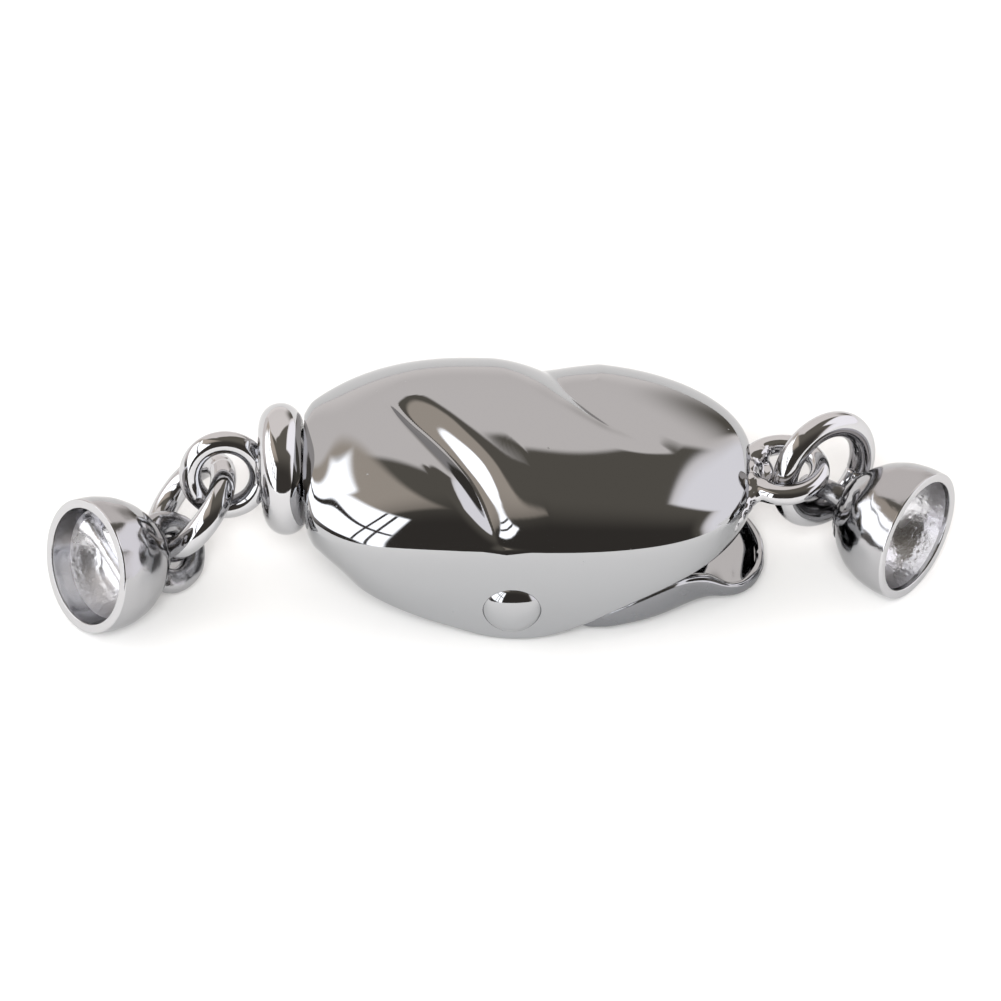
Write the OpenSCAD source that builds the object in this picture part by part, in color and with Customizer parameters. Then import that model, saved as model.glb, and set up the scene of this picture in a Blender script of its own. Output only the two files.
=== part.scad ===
// Fold-over lever clasp for a strand of beads, closed, with a bead cup on a ring at each end.
// X runs along the clasp, the lever's tab points to +X, and Z is up from the surface it lies on.

/* [Shell] */
// Half of the shell's length
shell_half_len = 9; // [8.8:0.1:9.2]
// Half of the shell's greatest width
shell_half_w = 5.5; // [5.4:0.05:5.6]
// Height of the widest line above the surface
belt_z = 4.8; // [4.7:0.05:4.9]
// Thickness of the shell's wall
wall = 0.7; // [0.6:0.05:0.75]
// Bluntness of the left end in plan
blunt_left = 3.6; // [3:0.1:4.2]
// Bluntness of the right end in plan
blunt_right = 2.6; // [2.3:0.1:3]
// Depth of the long groove on the front
groove_front = 0.75; // [0.3:0.05:0.9]
// Depth of the groove that starts behind
groove_back = 1.1; // [0.4:0.05:1.2]

/* [Hinge] */
// Place of the rivet along the clasp
pivot_x = -0.6; // [-0.8:0.1:-0.4]
// Height of the rivet
pivot_z = 2.2; // [2.1:0.05:2.3]
// Radius of the rivet's pin
pin_r = 0.6; // [0.5:0.05:0.65]
// Running clearance round the pin
pin_play = 0.05; // [0.02:0.01:0.08]
// Radius of the rivet's heads
head_r = 1.2; // [1:0.05:1.3]
// Height of the rivet's heads
head_h = 0.65; // [0.5:0.05:0.7]

/* [Lever] */
// Thickness of the lever's sheet
sheet = 0.6; // [0.5:0.05:0.7]
// Radius of the tube that turns on the pin
hub_r = 1.25; // [1.15:0.05:1.3]
// Half of the tube's length
hub_half = 4.05; // [3.8:0.05:4.1]

/* [Links] */
// Mean radius of the jump rings
ring_r = 2; // [1.95:0.05:2.05]
// Radius of the jump rings' wire
ring_wire = 0.52; // [0.45:0.01:0.55]
// Mean radius of the soldered eyes
eye_r = 1.42; // [1.4:0.01:1.48]
// Radius of the soldered eyes' wire
eye_wire = 0.42; // [0.38:0.01:0.43]

/* [Cups] */
// Radius of a cup's rim
cup_r = 2.72; // [2.7:0.01:2.75]
// Depth of a cup from the rim to its closed back
cup_depth = 3.4; // [3.3:0.05:3.4]
// Distance from the rim to the middle of the loop
loop_back = 4.1; // [4.05:0.05:4.15]
// Mean radius of a cup's loop
loop_r = 1.12; // [1.1:0.01:1.16]
// Radius of a cup's loop wire
loop_wire = 0.4; // [0.36:0.01:0.42]

/* [Hidden] */
plated = "#C9CBCE";
plated_dark = "#AEB1B6";
round_fn = 48;

// The whole clasp is centred over the origin by this shift from the shell's middle.
centre_shift = [0.84, 0, 0];

// Shell: dome height above the belt, by place along the clasp: [x, height]
DOME = [[-8.9, 1.0], [-8.2, 1.68], [-7.7, 1.96], [-6.8, 2.42], [-5.8, 2.93], [-4.8, 3.25],
        [-3.9, 3.42], [-2.9, 3.48], [-1.9, 3.46], [0, 3.32], [2.8, 2.98], [4.8, 2.62],
        [5.7, 2.34], [6.7, 1.93], [7.6, 1.5], [8.1, 1.22], [8.6, 0.86], [8.97, 0.36]];
// Shell: lower edge by place along the clasp: [x, half width, height]
EDGE = [[-8.9, 1.5, 2.75], [-8.2, 2.1, 2.6], [-7.7, 2.7, 2.4], [-6.8, 3.84, 2.0], [-5.8, 4.3, 1.6],
        [-4.8, 4.58, 1.22], [-3.9, 4.74, 0.9], [-2.9, 4.85, 0.58], [-2, 4.96, 0.25],
        [-1.2, 5, 0.06], [-0.3, 5, 0], [0.45, 5, 0.06], [1.4, 5.04, 0.42], [2.4, 5.06, 0.95],
        [3.3, 5.04, 1.5], [4.5, 4.9, 2.15], [5.8, 4.54, 2.68], [6.9, 3.98, 3.05], [8, 2.92, 3.3],
        [8.7, 1.65, 3.35], [8.97, 0.55, 3.4]];
// Grooves: middle line, depth share and width by place along the clasp: [x, angle, depth, width]
FRONT_GROOVE = [[-5.7, 100, 0, 0.5], [-5.2, 96, 0.6, 0.5], [-4.3, 88, 0.95, 0.7], [-3.4, 78, 1, 0.9],
                [-2.3, 64, 1, 1.1], [-1.2, 40, 0.75, 1.3], [-0.7, 22, 0.45, 1.4], [0.1, 2, 0, 1.5]];
BACK_GROOVE = [[-2.2, 185, 0, 1.3], [-0.9, 172, 0.45, 1.2], [0.4, 154, 0.95, 1.2],
               [0.85, 142, 1, 1.3], [1.45, 119, 0.9, 1.4], [2.2, 102, 0.7, 1.1], [3.05, 92, 0.5, 0.75],
               [4, 84, 0.35, 0.7], [4.9, 79, 0.2, 0.65], [6, 76, 0.05, 0.6], [6.6, 75, 0, 0.6]];
stations = 44;
steps_round = 44;
mouth_x = -8.9;
tip_x = shell_half_len - 0.03;
// Rivet: where its heads sit on the ears, and the gap under them
seat_y = shell_half_w - 0.3;
head_play = 0.02;
ear_bore_y = shell_half_w - 1.6;
groove_arm = 4.6;

// Lever: outline by place along the clasp: [x, half width, bottom, rim height, boxiness, sideways lean]
LEVER = [[-1.1, 3.9, 0.75, 1.5, 2.6, 0], [-0.4, 4.05, 0.5, 1.6, 3, 0], [0.6, 4.12, 0.3, 1.5, 3.4, 0],
         [1.5, 4.2, 0.15, 1.1, 3.8, 0], [2.3, 4.62, 0.08, 0.8, 3.8, 0], [3.3, 4.84, 0.05, 1.36, 3.8, 0],
         [4.3, 4.8, 0.03, 1.9, 3.5, 0], [5.2, 4.6, 0.03, 2.25, 3.3, 0], [6, 4.2, 0.05, 2.3, 3, 0],
         [6.7, 3.6, 0.1, 1.95, 3, 0], [7.3, 3.15, 0.2, 1.6, 3, -0.06], [8, 2.85, 0.15, 1.15, 3, -0.18],
         [8.7, 2.45, 0.12, 0.95, 2.8, -0.32], [9.15, 1.9, 0.16, 0.88, 2.6, -0.42],
         [9.5, 0.95, 0.3, 0.82, 2.6, -0.5]];
lever_stations = 26;
lever_steps = 20;

// Cam arm of the lever: outline across the pin, from the tube over the tongue to the tooth in its slot
CAM = [[0.3, 2.9], [-1.4, 4.0], [-1.5, 4.9], [-2.0, 5.38], [-4.3, 5.35], [-4.7, 4.9], [-4.7, 4.02],
       [-4.1, 4.02], [-4.1, 4.86], [-2.3, 4.86], [-2.3, 3.9], [-1.6, 2.7]];
cam_half_w = 0.75;

// Connector, drooping a little from the shell's mouth
collar_c = [-9.72, 0, 4.86];
collar_r = 1.79;
collar_wire = 0.86;
collar_droop = 4.5;
collar_play = 0.03;
left_eye_c = [-12.05, 0.1, 4.45];
left_eye_roll = 20;
right_eye_c = [10.2, 0, 4.8];
right_eye_r = 1.48;
tongue_half_w = 1.2;
tongue_h = 0.8;
tongue_z = 4.3;
tongue_end = -2.6;
slot_half_w = 0.95;
slot_len = 1.85;
slot_start = -5.15;

// Places of the loose links: [centre, tilt of the axis from up, heading of the axis],
// and for a cup also the turn of its loop and of its bar about the axis
left_ring = [[-13.47, 0.05, 2.75], 47.8, 179.2];
right_ring = [[11.85, 0.71, 4.2], 82.8, -52.3];
left_cup = [[-17.58, -3.64, 2.94], 72.7, -146.6, 42, -14];
right_cup = [[15.75, -1.65, 2.8], 84.7, -38.4, 30, 30];
// Cup: outer profile, as shares of the rim's radius and of the depth: [radius, depth]
BELL = [[1, 0], [1.005, 0.2], [0.956, 0.42], [0.827, 0.62], [0.655, 0.79], [0.44, 0.93], [0.2, 1], [0, 1]];
cup_bore = 2.3;
cup_bore_len = 1.1;
bar_wire = 0.3;
bar_below = 0.6;

// Value of a table's column at x, read between its rows
function column(table, n) = [for (row = table) [row[0], row[n]]];
function at(table, n, x) = lookup(x, column(table, n));
function signed_pow(v, p) = sign(v) * pow(abs(v), p);

// Half width of the shell at the belt
function plan(x) = let (p = x < 0 ? blunt_left : blunt_right)
    shell_half_w * pow(max(0, 1 - pow(abs(x) / shell_half_len, p)), 1 / p);
// How far a groove pulls the wall in at a place, t measured from the front over the top
function pull(table, depth, x, t) = let (away = (t - at(table, 1, x)) * PI / 180 * groove_arm,
        w = at(table, 3, x)) depth * at(table, 2, x) * exp(-pow(away / w, 2));
function grooves(x, t) = pull(FRONT_GROOVE, groove_front, x, t) + pull(BACK_GROOVE, groove_back, x, t);
// Angle below the belt at which the wall ends
function edge_angle(x) = acos(min(0.99, at(EDGE, 1, x) / plan(x)));
function below_belt(x) = (belt_z - at(EDGE, 2, x)) / sin(edge_angle(x));
// Point of the wall, set in from the outside by an amount
function wall_point(x, t, inset) = let (h = t >= 0 && t <= 180 ? at(DOME, 1, x) : below_belt(x),
        g = grooves(x, t) + inset, ry = max(0.05, plan(x) - g), rz = max(0.05, h - (sin(t) > 0 ? g : 0)))
    [x, -ry * cos(t), belt_z + rz * sin(t)];
function station_x(i) = let (u = i / (stations - 1))
    mouth_x + (tip_x - mouth_x) * (0.5 * u + 0.25 - 0.25 * cos(180 * u));
function shell_row(i, inset) = let (x = station_x(i), low = edge_angle(x),
        last = i == stations - 1, xi = last ? x - inset * 0.9 : x)
    [for (j = [0:steps_round - 1])
        let (t = -low + (180 + 2 * low) * j / (steps_round - 1),
            p = wall_point(x, t, inset * (last ? 0.6 : 1)))
        [xi, p[1], p[2]]];

// Two skins joined along the mouth and the lower edge; a point closes each skin at the right end.
module shell_wall() {
    outer = [for (i = [0:stations - 1]) each shell_row(i, 0)];
    inner = [for (i = [0:stations - 1]) each shell_row(i, wall)];
    count = len(outer);
    tips = [[shell_half_len, 0, belt_z], [shell_half_len - wall, 0, belt_z]];
    points = concat(outer, inner, tips);
    m = steps_round;
    last = (stations - 1) * m;
    skins = [for (i = [0:stations - 2], j = [0:m - 2])
        let (a = i * m + j, b = a + 1, c = a + m, d = c + 1)
        each [[a, b, c], [b, d, c], [count + a, count + c, count + b], [count + b, count + c, count + d]]];
    caps = [for (j = [0:m - 1]) let (a = last + j, b = last + (j + 1) % m)
        each [[a, b, 2 * count], [count + b, count + a, 2 * count + 1]]];
    edges = [for (i = [0:stations - 2]) let (a = i * m, c = a + m, e = a + m - 1, f = c + m - 1)
        each [[a, c, count + a], [c, count + c, count + a], [e, count + e, f], [f, count + e, count + f]]];
    heel = [[last, last + m - 1, count + last], [last + m - 1, count + last + m - 1, count + last]];
    mouth = [for (j = [0:m - 2]) each [[j, count + j, j + 1], [j + 1, count + j, count + j + 1]]];
    polyhedron(points, concat(skins, caps, edges, heel, mouth), convexity = 6);
}

// A ring of round wire about its own Z axis
module wire_ring(r, wire) {
    rotate_extrude($fn = round_fn) translate([r, 0]) circle(wire, $fn = round_fn);
}
// Turns +Z to a tilt from up and a heading, and moves to a place
module aim(place) {
    translate(place[0]) rotate([0, place[1], place[2]]) children();
}
module centred() {
    translate(centre_shift) children();
}

module shell() color(plated) centred() {
    difference() {
        union() {
            shell_wall();
            translate([shell_half_len - 0.9, 0, belt_z]) rotate([0, 90, 0])
                cylinder(h = 0.95, r = 0.62, $fn = round_fn);
        }
        for (side = [-1, 1])
            translate([pivot_x, side * ear_bore_y, pivot_z]) rotate([-90 * side, 0, 0]) {
                cylinder(h = 2, r = pin_r + pin_play, $fn = round_fn);
                translate([0, 0, seat_y - head_play - ear_bore_y])
                    cylinder(h = 1, r = head_r + pin_play, $fn = round_fn);
            }
        // The mouth is cut square to the drooping collar, which just clears it.
        translate(collar_c) rotate([0, -collar_droop, 0]) translate([collar_wire + collar_play - 3, 0, 0])
            rotate([0, 90, 0]) cylinder(h = 3, r = 3.6, $fn = round_fn);
    }
    translate(right_eye_c) wire_ring(right_eye_r, eye_wire);
}

module rivet() color(plated_dark) centred() translate([pivot_x, 0, pivot_z]) rotate([90, 0, 0]) {
    dome_r = (head_r * head_r + head_h * head_h) / (2 * head_h);
    cylinder(h = 2 * seat_y, r = pin_r, center = true, $fn = round_fn);
    for (side = [0, 1]) mirror([0, 0, side]) translate([0, 0, seat_y])
        rotate_extrude($fn = round_fn) intersection() {
            translate([0, head_h - dome_r]) circle(dome_r, $fn = round_fn);
            square([head_r, head_h]);
        }
}

// Lever section point: a boxy U from the front rim under the floor to the back rim
function lever_point(x, t, inset) = let (w = at(LEVER, 1, x) - inset, low = at(LEVER, 2, x) + inset,
        rim = at(LEVER, 3, x), p = 2 / at(LEVER, 4, x))
    [x, at(LEVER, 5, x) - w * signed_pow(cos(t), p), rim - max(0.05, rim - low) * signed_pow(sin(t), p)];
function lever_x(i) = let (a = LEVER[0][0], b = LEVER[len(LEVER) - 1][0])
    a + (b - a) * i / (lever_stations - 1);
function lever_row(i, inset) = [for (j = [0:lever_steps - 1])
    lever_point(lever_x(i), 180 * j / (lever_steps - 1), inset)];

module lever_sheet() {
    outer = [for (i = [0:lever_stations - 1]) each lever_row(i, 0)];
    inner = [for (i = [0:lever_stations - 1]) each lever_row(i, sheet)];
    count = len(outer);
    m = lever_steps;
    last = (lever_stations - 1) * m;
    skins = [for (i = [0:lever_stations - 2], j = [0:m - 2])
        let (a = i * m + j, b = a + 1, c = a + m, d = c + 1)
        each [[a, c, b], [b, c, d], [count + a, count + b, count + c], [count + b, count + d, count + c]]];
    rims = [for (i = [0:lever_stations - 2]) let (a = i * m, c = a + m, e = a + m - 1, f = c + m - 1)
        each [[a, count + a, c], [c, count + a, count + c], [e, f, count + e], [f, count + f, count + e]]];
    ends = [for (j = [0:m - 2]) let (a = last + j)
        each [[j, j + 1, count + j], [j + 1, count + j + 1, count + j],
              [a, count + a, a + 1], [a + 1, count + a, count + a + 1]]];
    polyhedron(concat(outer, inner), concat(skins, rims, ends), convexity = 6);
}

module cam_arm() {
    rotate([90, 0, 0]) linear_extrude(2 * cam_half_w, center = true) polygon(CAM);
}

module lever() color(plated_dark) centred() difference() {
    union() {
        lever_sheet();
        translate([pivot_x, 0, pivot_z]) rotate([90, 0, 0])
            cylinder(h = 2 * hub_half, r = hub_r, center = true, $fn = round_fn);
        cam_arm();
    }
    translate([pivot_x, 0, pivot_z]) rotate([90, 0, 0])
        cylinder(h = 2 * hub_half + 2, r = pin_r + pin_play, center = true, $fn = round_fn);
}

module connector() color(plated) centred() {
    translate(collar_c) rotate([0, -collar_droop, 0]) {
        rotate([0, 90, 0]) wire_ring(collar_r, collar_wire);
        rotate([0, -90, 0]) cylinder(h = 1.1, r1 = 1.25, r2 = 0.7, $fn = round_fn);
        rotate([0, 90, 0]) cylinder(h = 0.7, r = 1.25, $fn = round_fn);
    }
    translate([0, 0, tongue_z]) difference() {
        translate([collar_c[0], -tongue_half_w, -tongue_h / 2])
            cube([tongue_end - collar_c[0], 2 * tongue_half_w, tongue_h]);
        translate([slot_start, -slot_half_w, -tongue_h])
            cube([slot_len, 2 * slot_half_w, 2 * tongue_h]);
    }
    translate(left_eye_c) rotate([90 - left_eye_roll, 0, 0]) wire_ring(eye_r, eye_wire);
}

module jump_ring_left() color(plated) centred() aim(left_ring) wire_ring(ring_r, ring_wire);
module jump_ring_right() color(plated) centred() aim(right_ring) wire_ring(ring_r, ring_wire);

// Bell with a straight mouth, a rounded hollow, a cross bar inside and a loop behind
module bead_cup(place) centred() aim(place) {
    rotate_extrude($fn = round_fn) difference() {
        polygon([for (p = BELL) [p[0] * cup_r, -p[1] * cup_depth]]);
        translate([0, -cup_bore_len]) square([cup_bore, cup_bore_len + 1]);
        intersection() {
            translate([0, -cup_bore_len]) scale([1, 0.56]) circle(cup_bore, $fn = round_fn);
            translate([0, -cup_depth]) square([cup_bore, cup_depth - cup_bore_len + 0.01]);
        }
    }
    translate([0, 0, -cup_bore_len - bar_below]) rotate([90, 0, place[4]])
        cylinder(h = 2 * cup_bore - 0.3, r = bar_wire, center = true, $fn = round_fn);
    translate([0, 0, -loop_back]) rotate([90, 0, place[3]]) wire_ring(loop_r, loop_wire);
}
module bead_cup_left() color(plated_dark) bead_cup(left_cup);
module bead_cup_right() color(plated_dark) bead_cup(right_cup);

shell();
rivet();
lever();
connector();
jump_ring_left();
jump_ring_right();
bead_cup_left();
bead_cup_right();
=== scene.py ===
import math

import bpy
import numpy as np
from bpy.props import FloatProperty, IntProperty, PointerProperty, StringProperty
from bpy.types import Operator, Panel, PropertyGroup
from mathutils import Euler, Matrix, Vector


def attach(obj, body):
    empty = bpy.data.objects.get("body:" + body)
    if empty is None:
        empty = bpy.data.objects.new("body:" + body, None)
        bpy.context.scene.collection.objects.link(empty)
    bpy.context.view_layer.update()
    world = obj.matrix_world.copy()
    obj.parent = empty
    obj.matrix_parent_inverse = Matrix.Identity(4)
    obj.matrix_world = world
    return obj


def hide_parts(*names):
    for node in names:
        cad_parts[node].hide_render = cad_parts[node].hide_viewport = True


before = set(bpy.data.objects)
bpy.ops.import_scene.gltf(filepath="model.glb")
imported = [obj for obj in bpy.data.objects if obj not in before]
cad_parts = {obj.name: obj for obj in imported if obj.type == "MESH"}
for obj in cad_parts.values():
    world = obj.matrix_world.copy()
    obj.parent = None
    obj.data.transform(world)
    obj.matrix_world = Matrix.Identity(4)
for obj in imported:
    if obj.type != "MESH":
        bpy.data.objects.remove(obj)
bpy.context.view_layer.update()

# Looks of a plated fold-over clasp for a strand of beads. Sizes in the tables below are in mm, measured from
# the middle of the shell, and mm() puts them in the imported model's frame, in metres.
bl_info = {
    "name": "Fold-over clasp",
    "version": (1, 0, 0),
    "blender": (4, 5, 0),
    "location": "3D View > Sidebar > Clasp",
    "description": "Builds the plated pieces of a fold-over clasp with two bead cups, and a table for it",
    "category": "Add Mesh",
}

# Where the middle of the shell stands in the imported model's frame
SHIFT = np.array([0.84, 0, 0])
# Shell: half of its length, the x of its mouth, and the height of its widest line above the table
HALF_LENGTH = 9
MOUTH = -8.9
BELT = 4.8
# Shell: height of the dome above the belt, by place along the clasp
DOME = [[-8.9, 1.0], [-8.2, 1.68], [-7.7, 1.96], [-6.8, 2.42], [-5.8, 2.93], [-4.8, 3.25], [-3.9, 3.42],
        [-2.9, 3.48], [-1.9, 3.46], [0, 3.32], [2.8, 2.98], [4.8, 2.62], [5.7, 2.34], [6.7, 1.93],
        [7.6, 1.5], [8.1, 1.22], [8.6, 0.86], [8.97, 0.36], [9, 0]]
# Shell: lower edge as [x, half width, height]
EDGE = [[-8.9, 1.5, 2.75], [-8.2, 2.1, 2.6], [-7.7, 2.7, 2.4], [-6.8, 3.84, 2.0], [-5.8, 4.3, 1.6],
        [-4.8, 4.58, 1.22], [-3.9, 4.74, 0.9], [-2.9, 4.85, 0.58], [-2, 4.96, 0.25], [-1.2, 5, 0.06],
        [-0.3, 5, 0], [0.45, 5, 0.06], [1.4, 5.04, 0.42], [2.4, 5.06, 0.95], [3.3, 5.04, 1.5],
        [4.5, 4.9, 2.15], [5.8, 4.54, 2.68], [6.9, 3.98, 3.05], [8, 2.92, 3.3], [8.7, 1.65, 3.35],
        [8.97, 0.55, 3.4]]
# Creases as [x, angle from the front over the top, depth, reach on the left, reach on the right]
FRONT_CREASE = [[-5.75, 102, 0, 0.3, 0.2], [-5.32, 98.6, 0.2, 0.5, 0.48], [-4.9, 92.5, 0.5, 0.7, 1.05],
                [-4.48, 86.7, 0.71, 0.85, 1.5], [-3.88, 78.6, 0.84, 1.05, 1.85],
                [-2.88, 63.4, 0.92, 1.2, 2.25], [-2.32, 53.5, 0.92, 1.15, 2.5], [-1.8, 39, 0.74, 1.0, 2.6],
                [-1.48, 26, 0.46, 0.8, 2.5], [-1.1, 14, 0.18, 0.7, 2.2], [-0.75, 4, 0, 0.7, 2.0]]
BACK_CREASE = [[-2.0, 185, 0, 1.8, 2.2], [-0.4, 168, 0.36, 2.0, 2.2], [0.7, 150, 0.5, 2.3, 2.2],
               [1.0, 131, 0.5, 2.3, 2.0], [1.5, 112, 0.42, 1.9, 1.4], [2.52, 96.5, 0.36, 1.2, 0.9],
               [3.32, 87.5, 0.26, 1.0, 0.75], [4.12, 82, 0.15, 0.9, 0.65], [5.12, 77, 0.04, 0.8, 0.6],
               [6, 73, 0, 0.6, 0.6]]
# Solder at the end eye, in lumps as [centre, half sizes]
SOLDER = [[[9.2, -1.04, 4.75], [0.7, 0.43, 0.45]], [[9.12, 0.8, 4.84], [0.6, 0.5, 0.44]],
          [[9.3, 0.15, 4.55], [0.6, 0.85, 0.25]], [[9.0, 0.1, 4.7], [0.4, 0.9, 0.4]],
          [[8.9, -0.9, 5.05], [0.3, 0.4, 0.3]], [[8.95, -0.2, 5.1], [0.26, 0.4, 0.24]],
          [[8.85, -1.4, 4.68], [0.42, 0.46, 0.46]], [[8.62, -1.85, 4.6], [0.38, 0.46, 0.42]],
          [[8.4, -2.28, 4.5], [0.34, 0.42, 0.4]], [[8.2, -2.6, 4.3], [0.26, 0.35, 0.4]]]
# Rivet: its axis as (x, height), which the lever turns about
PIVOT = (-0.6, 2.2)
# Lever: [x, half width, bottom, rim height, boxiness, sideways lean]
LEVER = [[-1.1, 3.9, 0.75, 1.5, 2.6, 0], [-0.4, 4.05, 0.5, 1.6, 3, 0], [0.6, 4.12, 0.3, 1.5, 3.4, 0],
         [1.5, 4.2, 0.15, 1.1, 3.8, 0], [2.3, 4.62, 0.08, 0.8, 3.8, 0], [3.3, 4.84, 0.05, 1.36, 3.8, 0],
         [4.3, 4.8, 0.03, 1.9, 3.5, 0], [5.2, 4.6, 0.03, 2.25, 3.3, 0], [6, 4.2, 0.05, 2.3, 3, 0],
         [6.7, 3.6, 0.1, 1.95, 3, 0], [7.3, 3.15, 0.2, 1.6, 3, -0.1], [8, 2.78, 0.15, 1.15, 3, -0.3],
         [8.7, 2.2, 0.12, 0.95, 2.8, -0.52], [9.15, 1.52, 0.16, 0.88, 2.6, -0.62],
         [9.5, 1.15, 0.3, 0.82, 2.6, -0.66]]
# Cam arm: its outline as [x, height]
CAM = [[0.3, 2.9], [-1.4, 4.0], [-1.5, 4.9], [-2.0, 5.38], [-4.3, 5.35], [-4.7, 4.9], [-4.7, 4.02],
       [-4.1, 4.02], [-4.1, 4.86], [-2.3, 4.86], [-2.3, 3.9], [-1.6, 2.7]]
# Connector: the shank's profile as [radius, place along it], and the tongue's outlines as [x, y]
SHANK = [[0, -1.12], [0.62, -1.08], [0.74, -0.95], [0.95, -0.45], [1.22, -0.1], [1.25, 0.65], [1.15, 0.7],
         [0, 0.7]]
SLAB = [[-9.3, -1.2], [-2.6, -1.2], [-2.6, 1.2], [-9.3, 1.2]]
SLOT = [[-5.15, -0.95], [-3.3, -0.95], [-3.3, 0.95], [-5.15, 0.95]]
# Jump rings as [centre, tilt of the axis from up, heading], and where each is closed, in degrees along it
LEFT_RING = [[-13.47, 0.05, 2.75], 47.8, 179.2]
RIGHT_RING = [[11.85, 0.71, 4.2], 82.8, -52.3]
SEAMS = {"jump_ring_left": 200, "jump_ring_right": 60}
# Cups: the middle of the rim, the tilt of the axis from up and its heading, the turns of the loop and the bar
# about it, the height down to which the bowl is polished, and how far off the axis the loop was cast
LEFT_CUP = {"rim": [-17.58, -3.64, 2.94], "tilt": 72.7, "heading": -146.6, "loop_turn": 42, "bar_turn": -14,
            "polished_to": -0.8, "loop_off": (0, 0, 0)}
RIGHT_CUP = {"rim": [15.6, -1.72, 2.76], "tilt": 89.3, "heading": -35, "loop_turn": 30, "bar_turn": 30,
             "polished_to": -0.2, "loop_off": (0.26, 0.157, 0.052)}
# Bell: its outside from back to rim as [share of the rim's radius, share of the depth]
BELL = [[0.48, 0.93], [0.7, 0.79], [0.86, 0.62], [0.962, 0.42], [1.005, 0.2]]
# A cup's bowl, foot and cross bar as [radius, place along the axis]
BOWL = [[2.33, -0.09], [2.3, -0.4], [2.2, -0.85], [2.02, -1.25], [1.76, -1.62], [1.4, -1.95], [0.95, -2.22],
        [0.4, -2.38], [0, -2.4]]
FOOT = [[0, -3.75], [0.5, -3.72], [0.75, -3.6], [1.0, -3.4], [1.35, -3.2], [1.6, -3.0], [0, -3.0]]
BAR = [[0, -1.95], [0.46, -1.95], [0.36, -1.7], [0.28, -1.4], [0.23, -0.8], [0.22, 0], [0.23, 0.8],
       [0.29, 1.4], [0.4, 1.7], [0.52, 1.95], [0, 1.95]]


# Sizes and colours that a user would change

def length_prop(name, description, value):
    return FloatProperty(name=name, description=description, default=value, unit="LENGTH")


def hex_prop(name, description, value):
    return StringProperty(name=name, description=description + ", as an sRGB hex value", default=value)


class ClaspShellSizes(PropertyGroup):
    wall: length_prop("Wall", "Thickness of the shell's wall", 0.0007)
    half_width: length_prop("Half width", "Half of the shell's greatest width", 0.0055)
    stations: IntProperty(name="Stations", description="Sections of the shell along its length", default=280)


class ClaspLinkSizes(PropertyGroup):
    ring_radius: length_prop("Ring radius", "Mean radius of the jump rings", 0.002)
    ring_wire: length_prop("Ring wire", "Radius of the jump rings' wire", 0.00052)
    eye_radius: length_prop("Eye radius", "Mean radius of the connector's eye", 0.0014)
    eye_wire: length_prop("Eye wire", "Radius of the wire in the connector's eye", 0.00045)


class ClaspCupSizes(PropertyGroup):
    rim_radius: length_prop("Rim radius", "Outer radius of a cup's rim", 0.00272)
    depth: length_prop("Depth", "From a cup's rim to its closed back", 0.0034)
    loop_radius: length_prop("Loop radius", "Mean radius of a cup's loop", 0.00117)


class ClaspPlating(PropertyGroup):
    bright: hex_prop("Bright plating", "Colour of mirror-bright chrome seen face on", "#ACADAF")
    tumbled: hex_prop("Tumbled plating", "Colour of plating over a cast surface", "#ABABAD")
    # darker than the bright plating: painted shade for the table's shadow under the lever, on a duller finish
    under: hex_prop("Underside plating", "Colour of the dull plating under the lever, darkened as painted shade", "#86878A")
    # lighter than the bright plating of the same bath: painted light for rings that mirror the dim room
    wire: hex_prop("Wire plating", "Colour of plating on the rings and the eyes, lightened as painted light", "#C2C2C4")
    # much paler than the bright plating: painted light for the cups' hollows, which mirror the dim room
    recess_with_painted_light: hex_prop("Recess plating", "Colour of thin plating inside the cups, lightened as painted light", "#ECECEF")
    haze: FloatProperty(name="Haze", description="Roughness of the polished faces", default=0.035,
                        subtype="FACTOR")


class ClaspTable(PropertyGroup):
    floor: hex_prop("Table", "Colour of the matt white table", "#F4F4F3")
    sky: hex_prop("Light wall", "Colour of the lit wall and ceiling behind", "#FEF7F3")
    shade: hex_prop("Dim room", "Colour of the dim room on the camera's side", "#6F6A62")
    deep_shade: hex_prop("Deep shade", "Colour of the darkest part, low in front", "#44403C")
    wall: hex_prop("Painted wall", "Colour of the wall beside the window", "#CEC2B5")
    glow: hex_prop("Soft light", "Colour of the soft light on the right", "#FEFBFF")
    window: hex_prop("Window", "Colour of the light in the window's panes", "#FBFCFF")


SETTINGS = {"clasp_shell": ClaspShellSizes, "clasp_links": ClaspLinkSizes, "clasp_cups": ClaspCupSizes,
            "clasp_plating": ClaspPlating, "clasp_table": ClaspTable}


# Small helpers

def mm(points):
    """Points in mm from the middle of the shell, as metres in the frame."""
    return (np.asarray(points, float) + SHIFT) * 0.001


def linear(hex_value):
    """An sRGB hex value as the linear colour that Blender's sockets take."""
    parts = [int(hex_value[i:i + 2], 16) / 255 for i in (1, 3, 5)]
    return tuple(c / 12.92 if c <= 0.04045 else ((c + 0.055) / 1.055) ** 2.4 for c in parts) + (1.0,)


def step(low, high, value):
    """0 below low, 1 above high, and an even curve between."""
    s = np.clip((value - low) / (high - low), 0, 1)
    return s * s * (3 - 2 * s)


def soft_weights(soften, grid):
    """Weights that round a line's corners over a length, on a grid."""
    reach = np.arange(-3 * soften, 3 * soften + grid / 2, grid)
    weight = np.exp(-(reach / soften) ** 2 / 2)
    return weight / weight.sum()


def eased(rows, column, soften):
    """A table's column at any x, with the corners between its rows rounded over a length in mm."""
    margin, grid = 4, 0.02
    knots = np.array(rows, float)
    x, v = knots[:, 0], knots[:, column]
    first, last = (v[1] - v[0]) / (x[1] - x[0]), (v[-1] - v[-2]) / (x[-1] - x[-2])
    x = np.concatenate([[x[0] - margin], x, [x[-1] + margin]])
    v = np.concatenate([[v[0] - margin * first], v, [v[-1] + margin * last]])
    fine = np.arange(x[0], x[-1], grid)
    weight = soft_weights(soften, grid)
    half = len(weight) // 2
    padded = np.pad(np.interp(fine, x, v), half, mode="edge")
    soft = np.convolve(padded, weight, "same")[half:half + len(fine)]
    return lambda at: np.interp(at, fine, soft)


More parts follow.
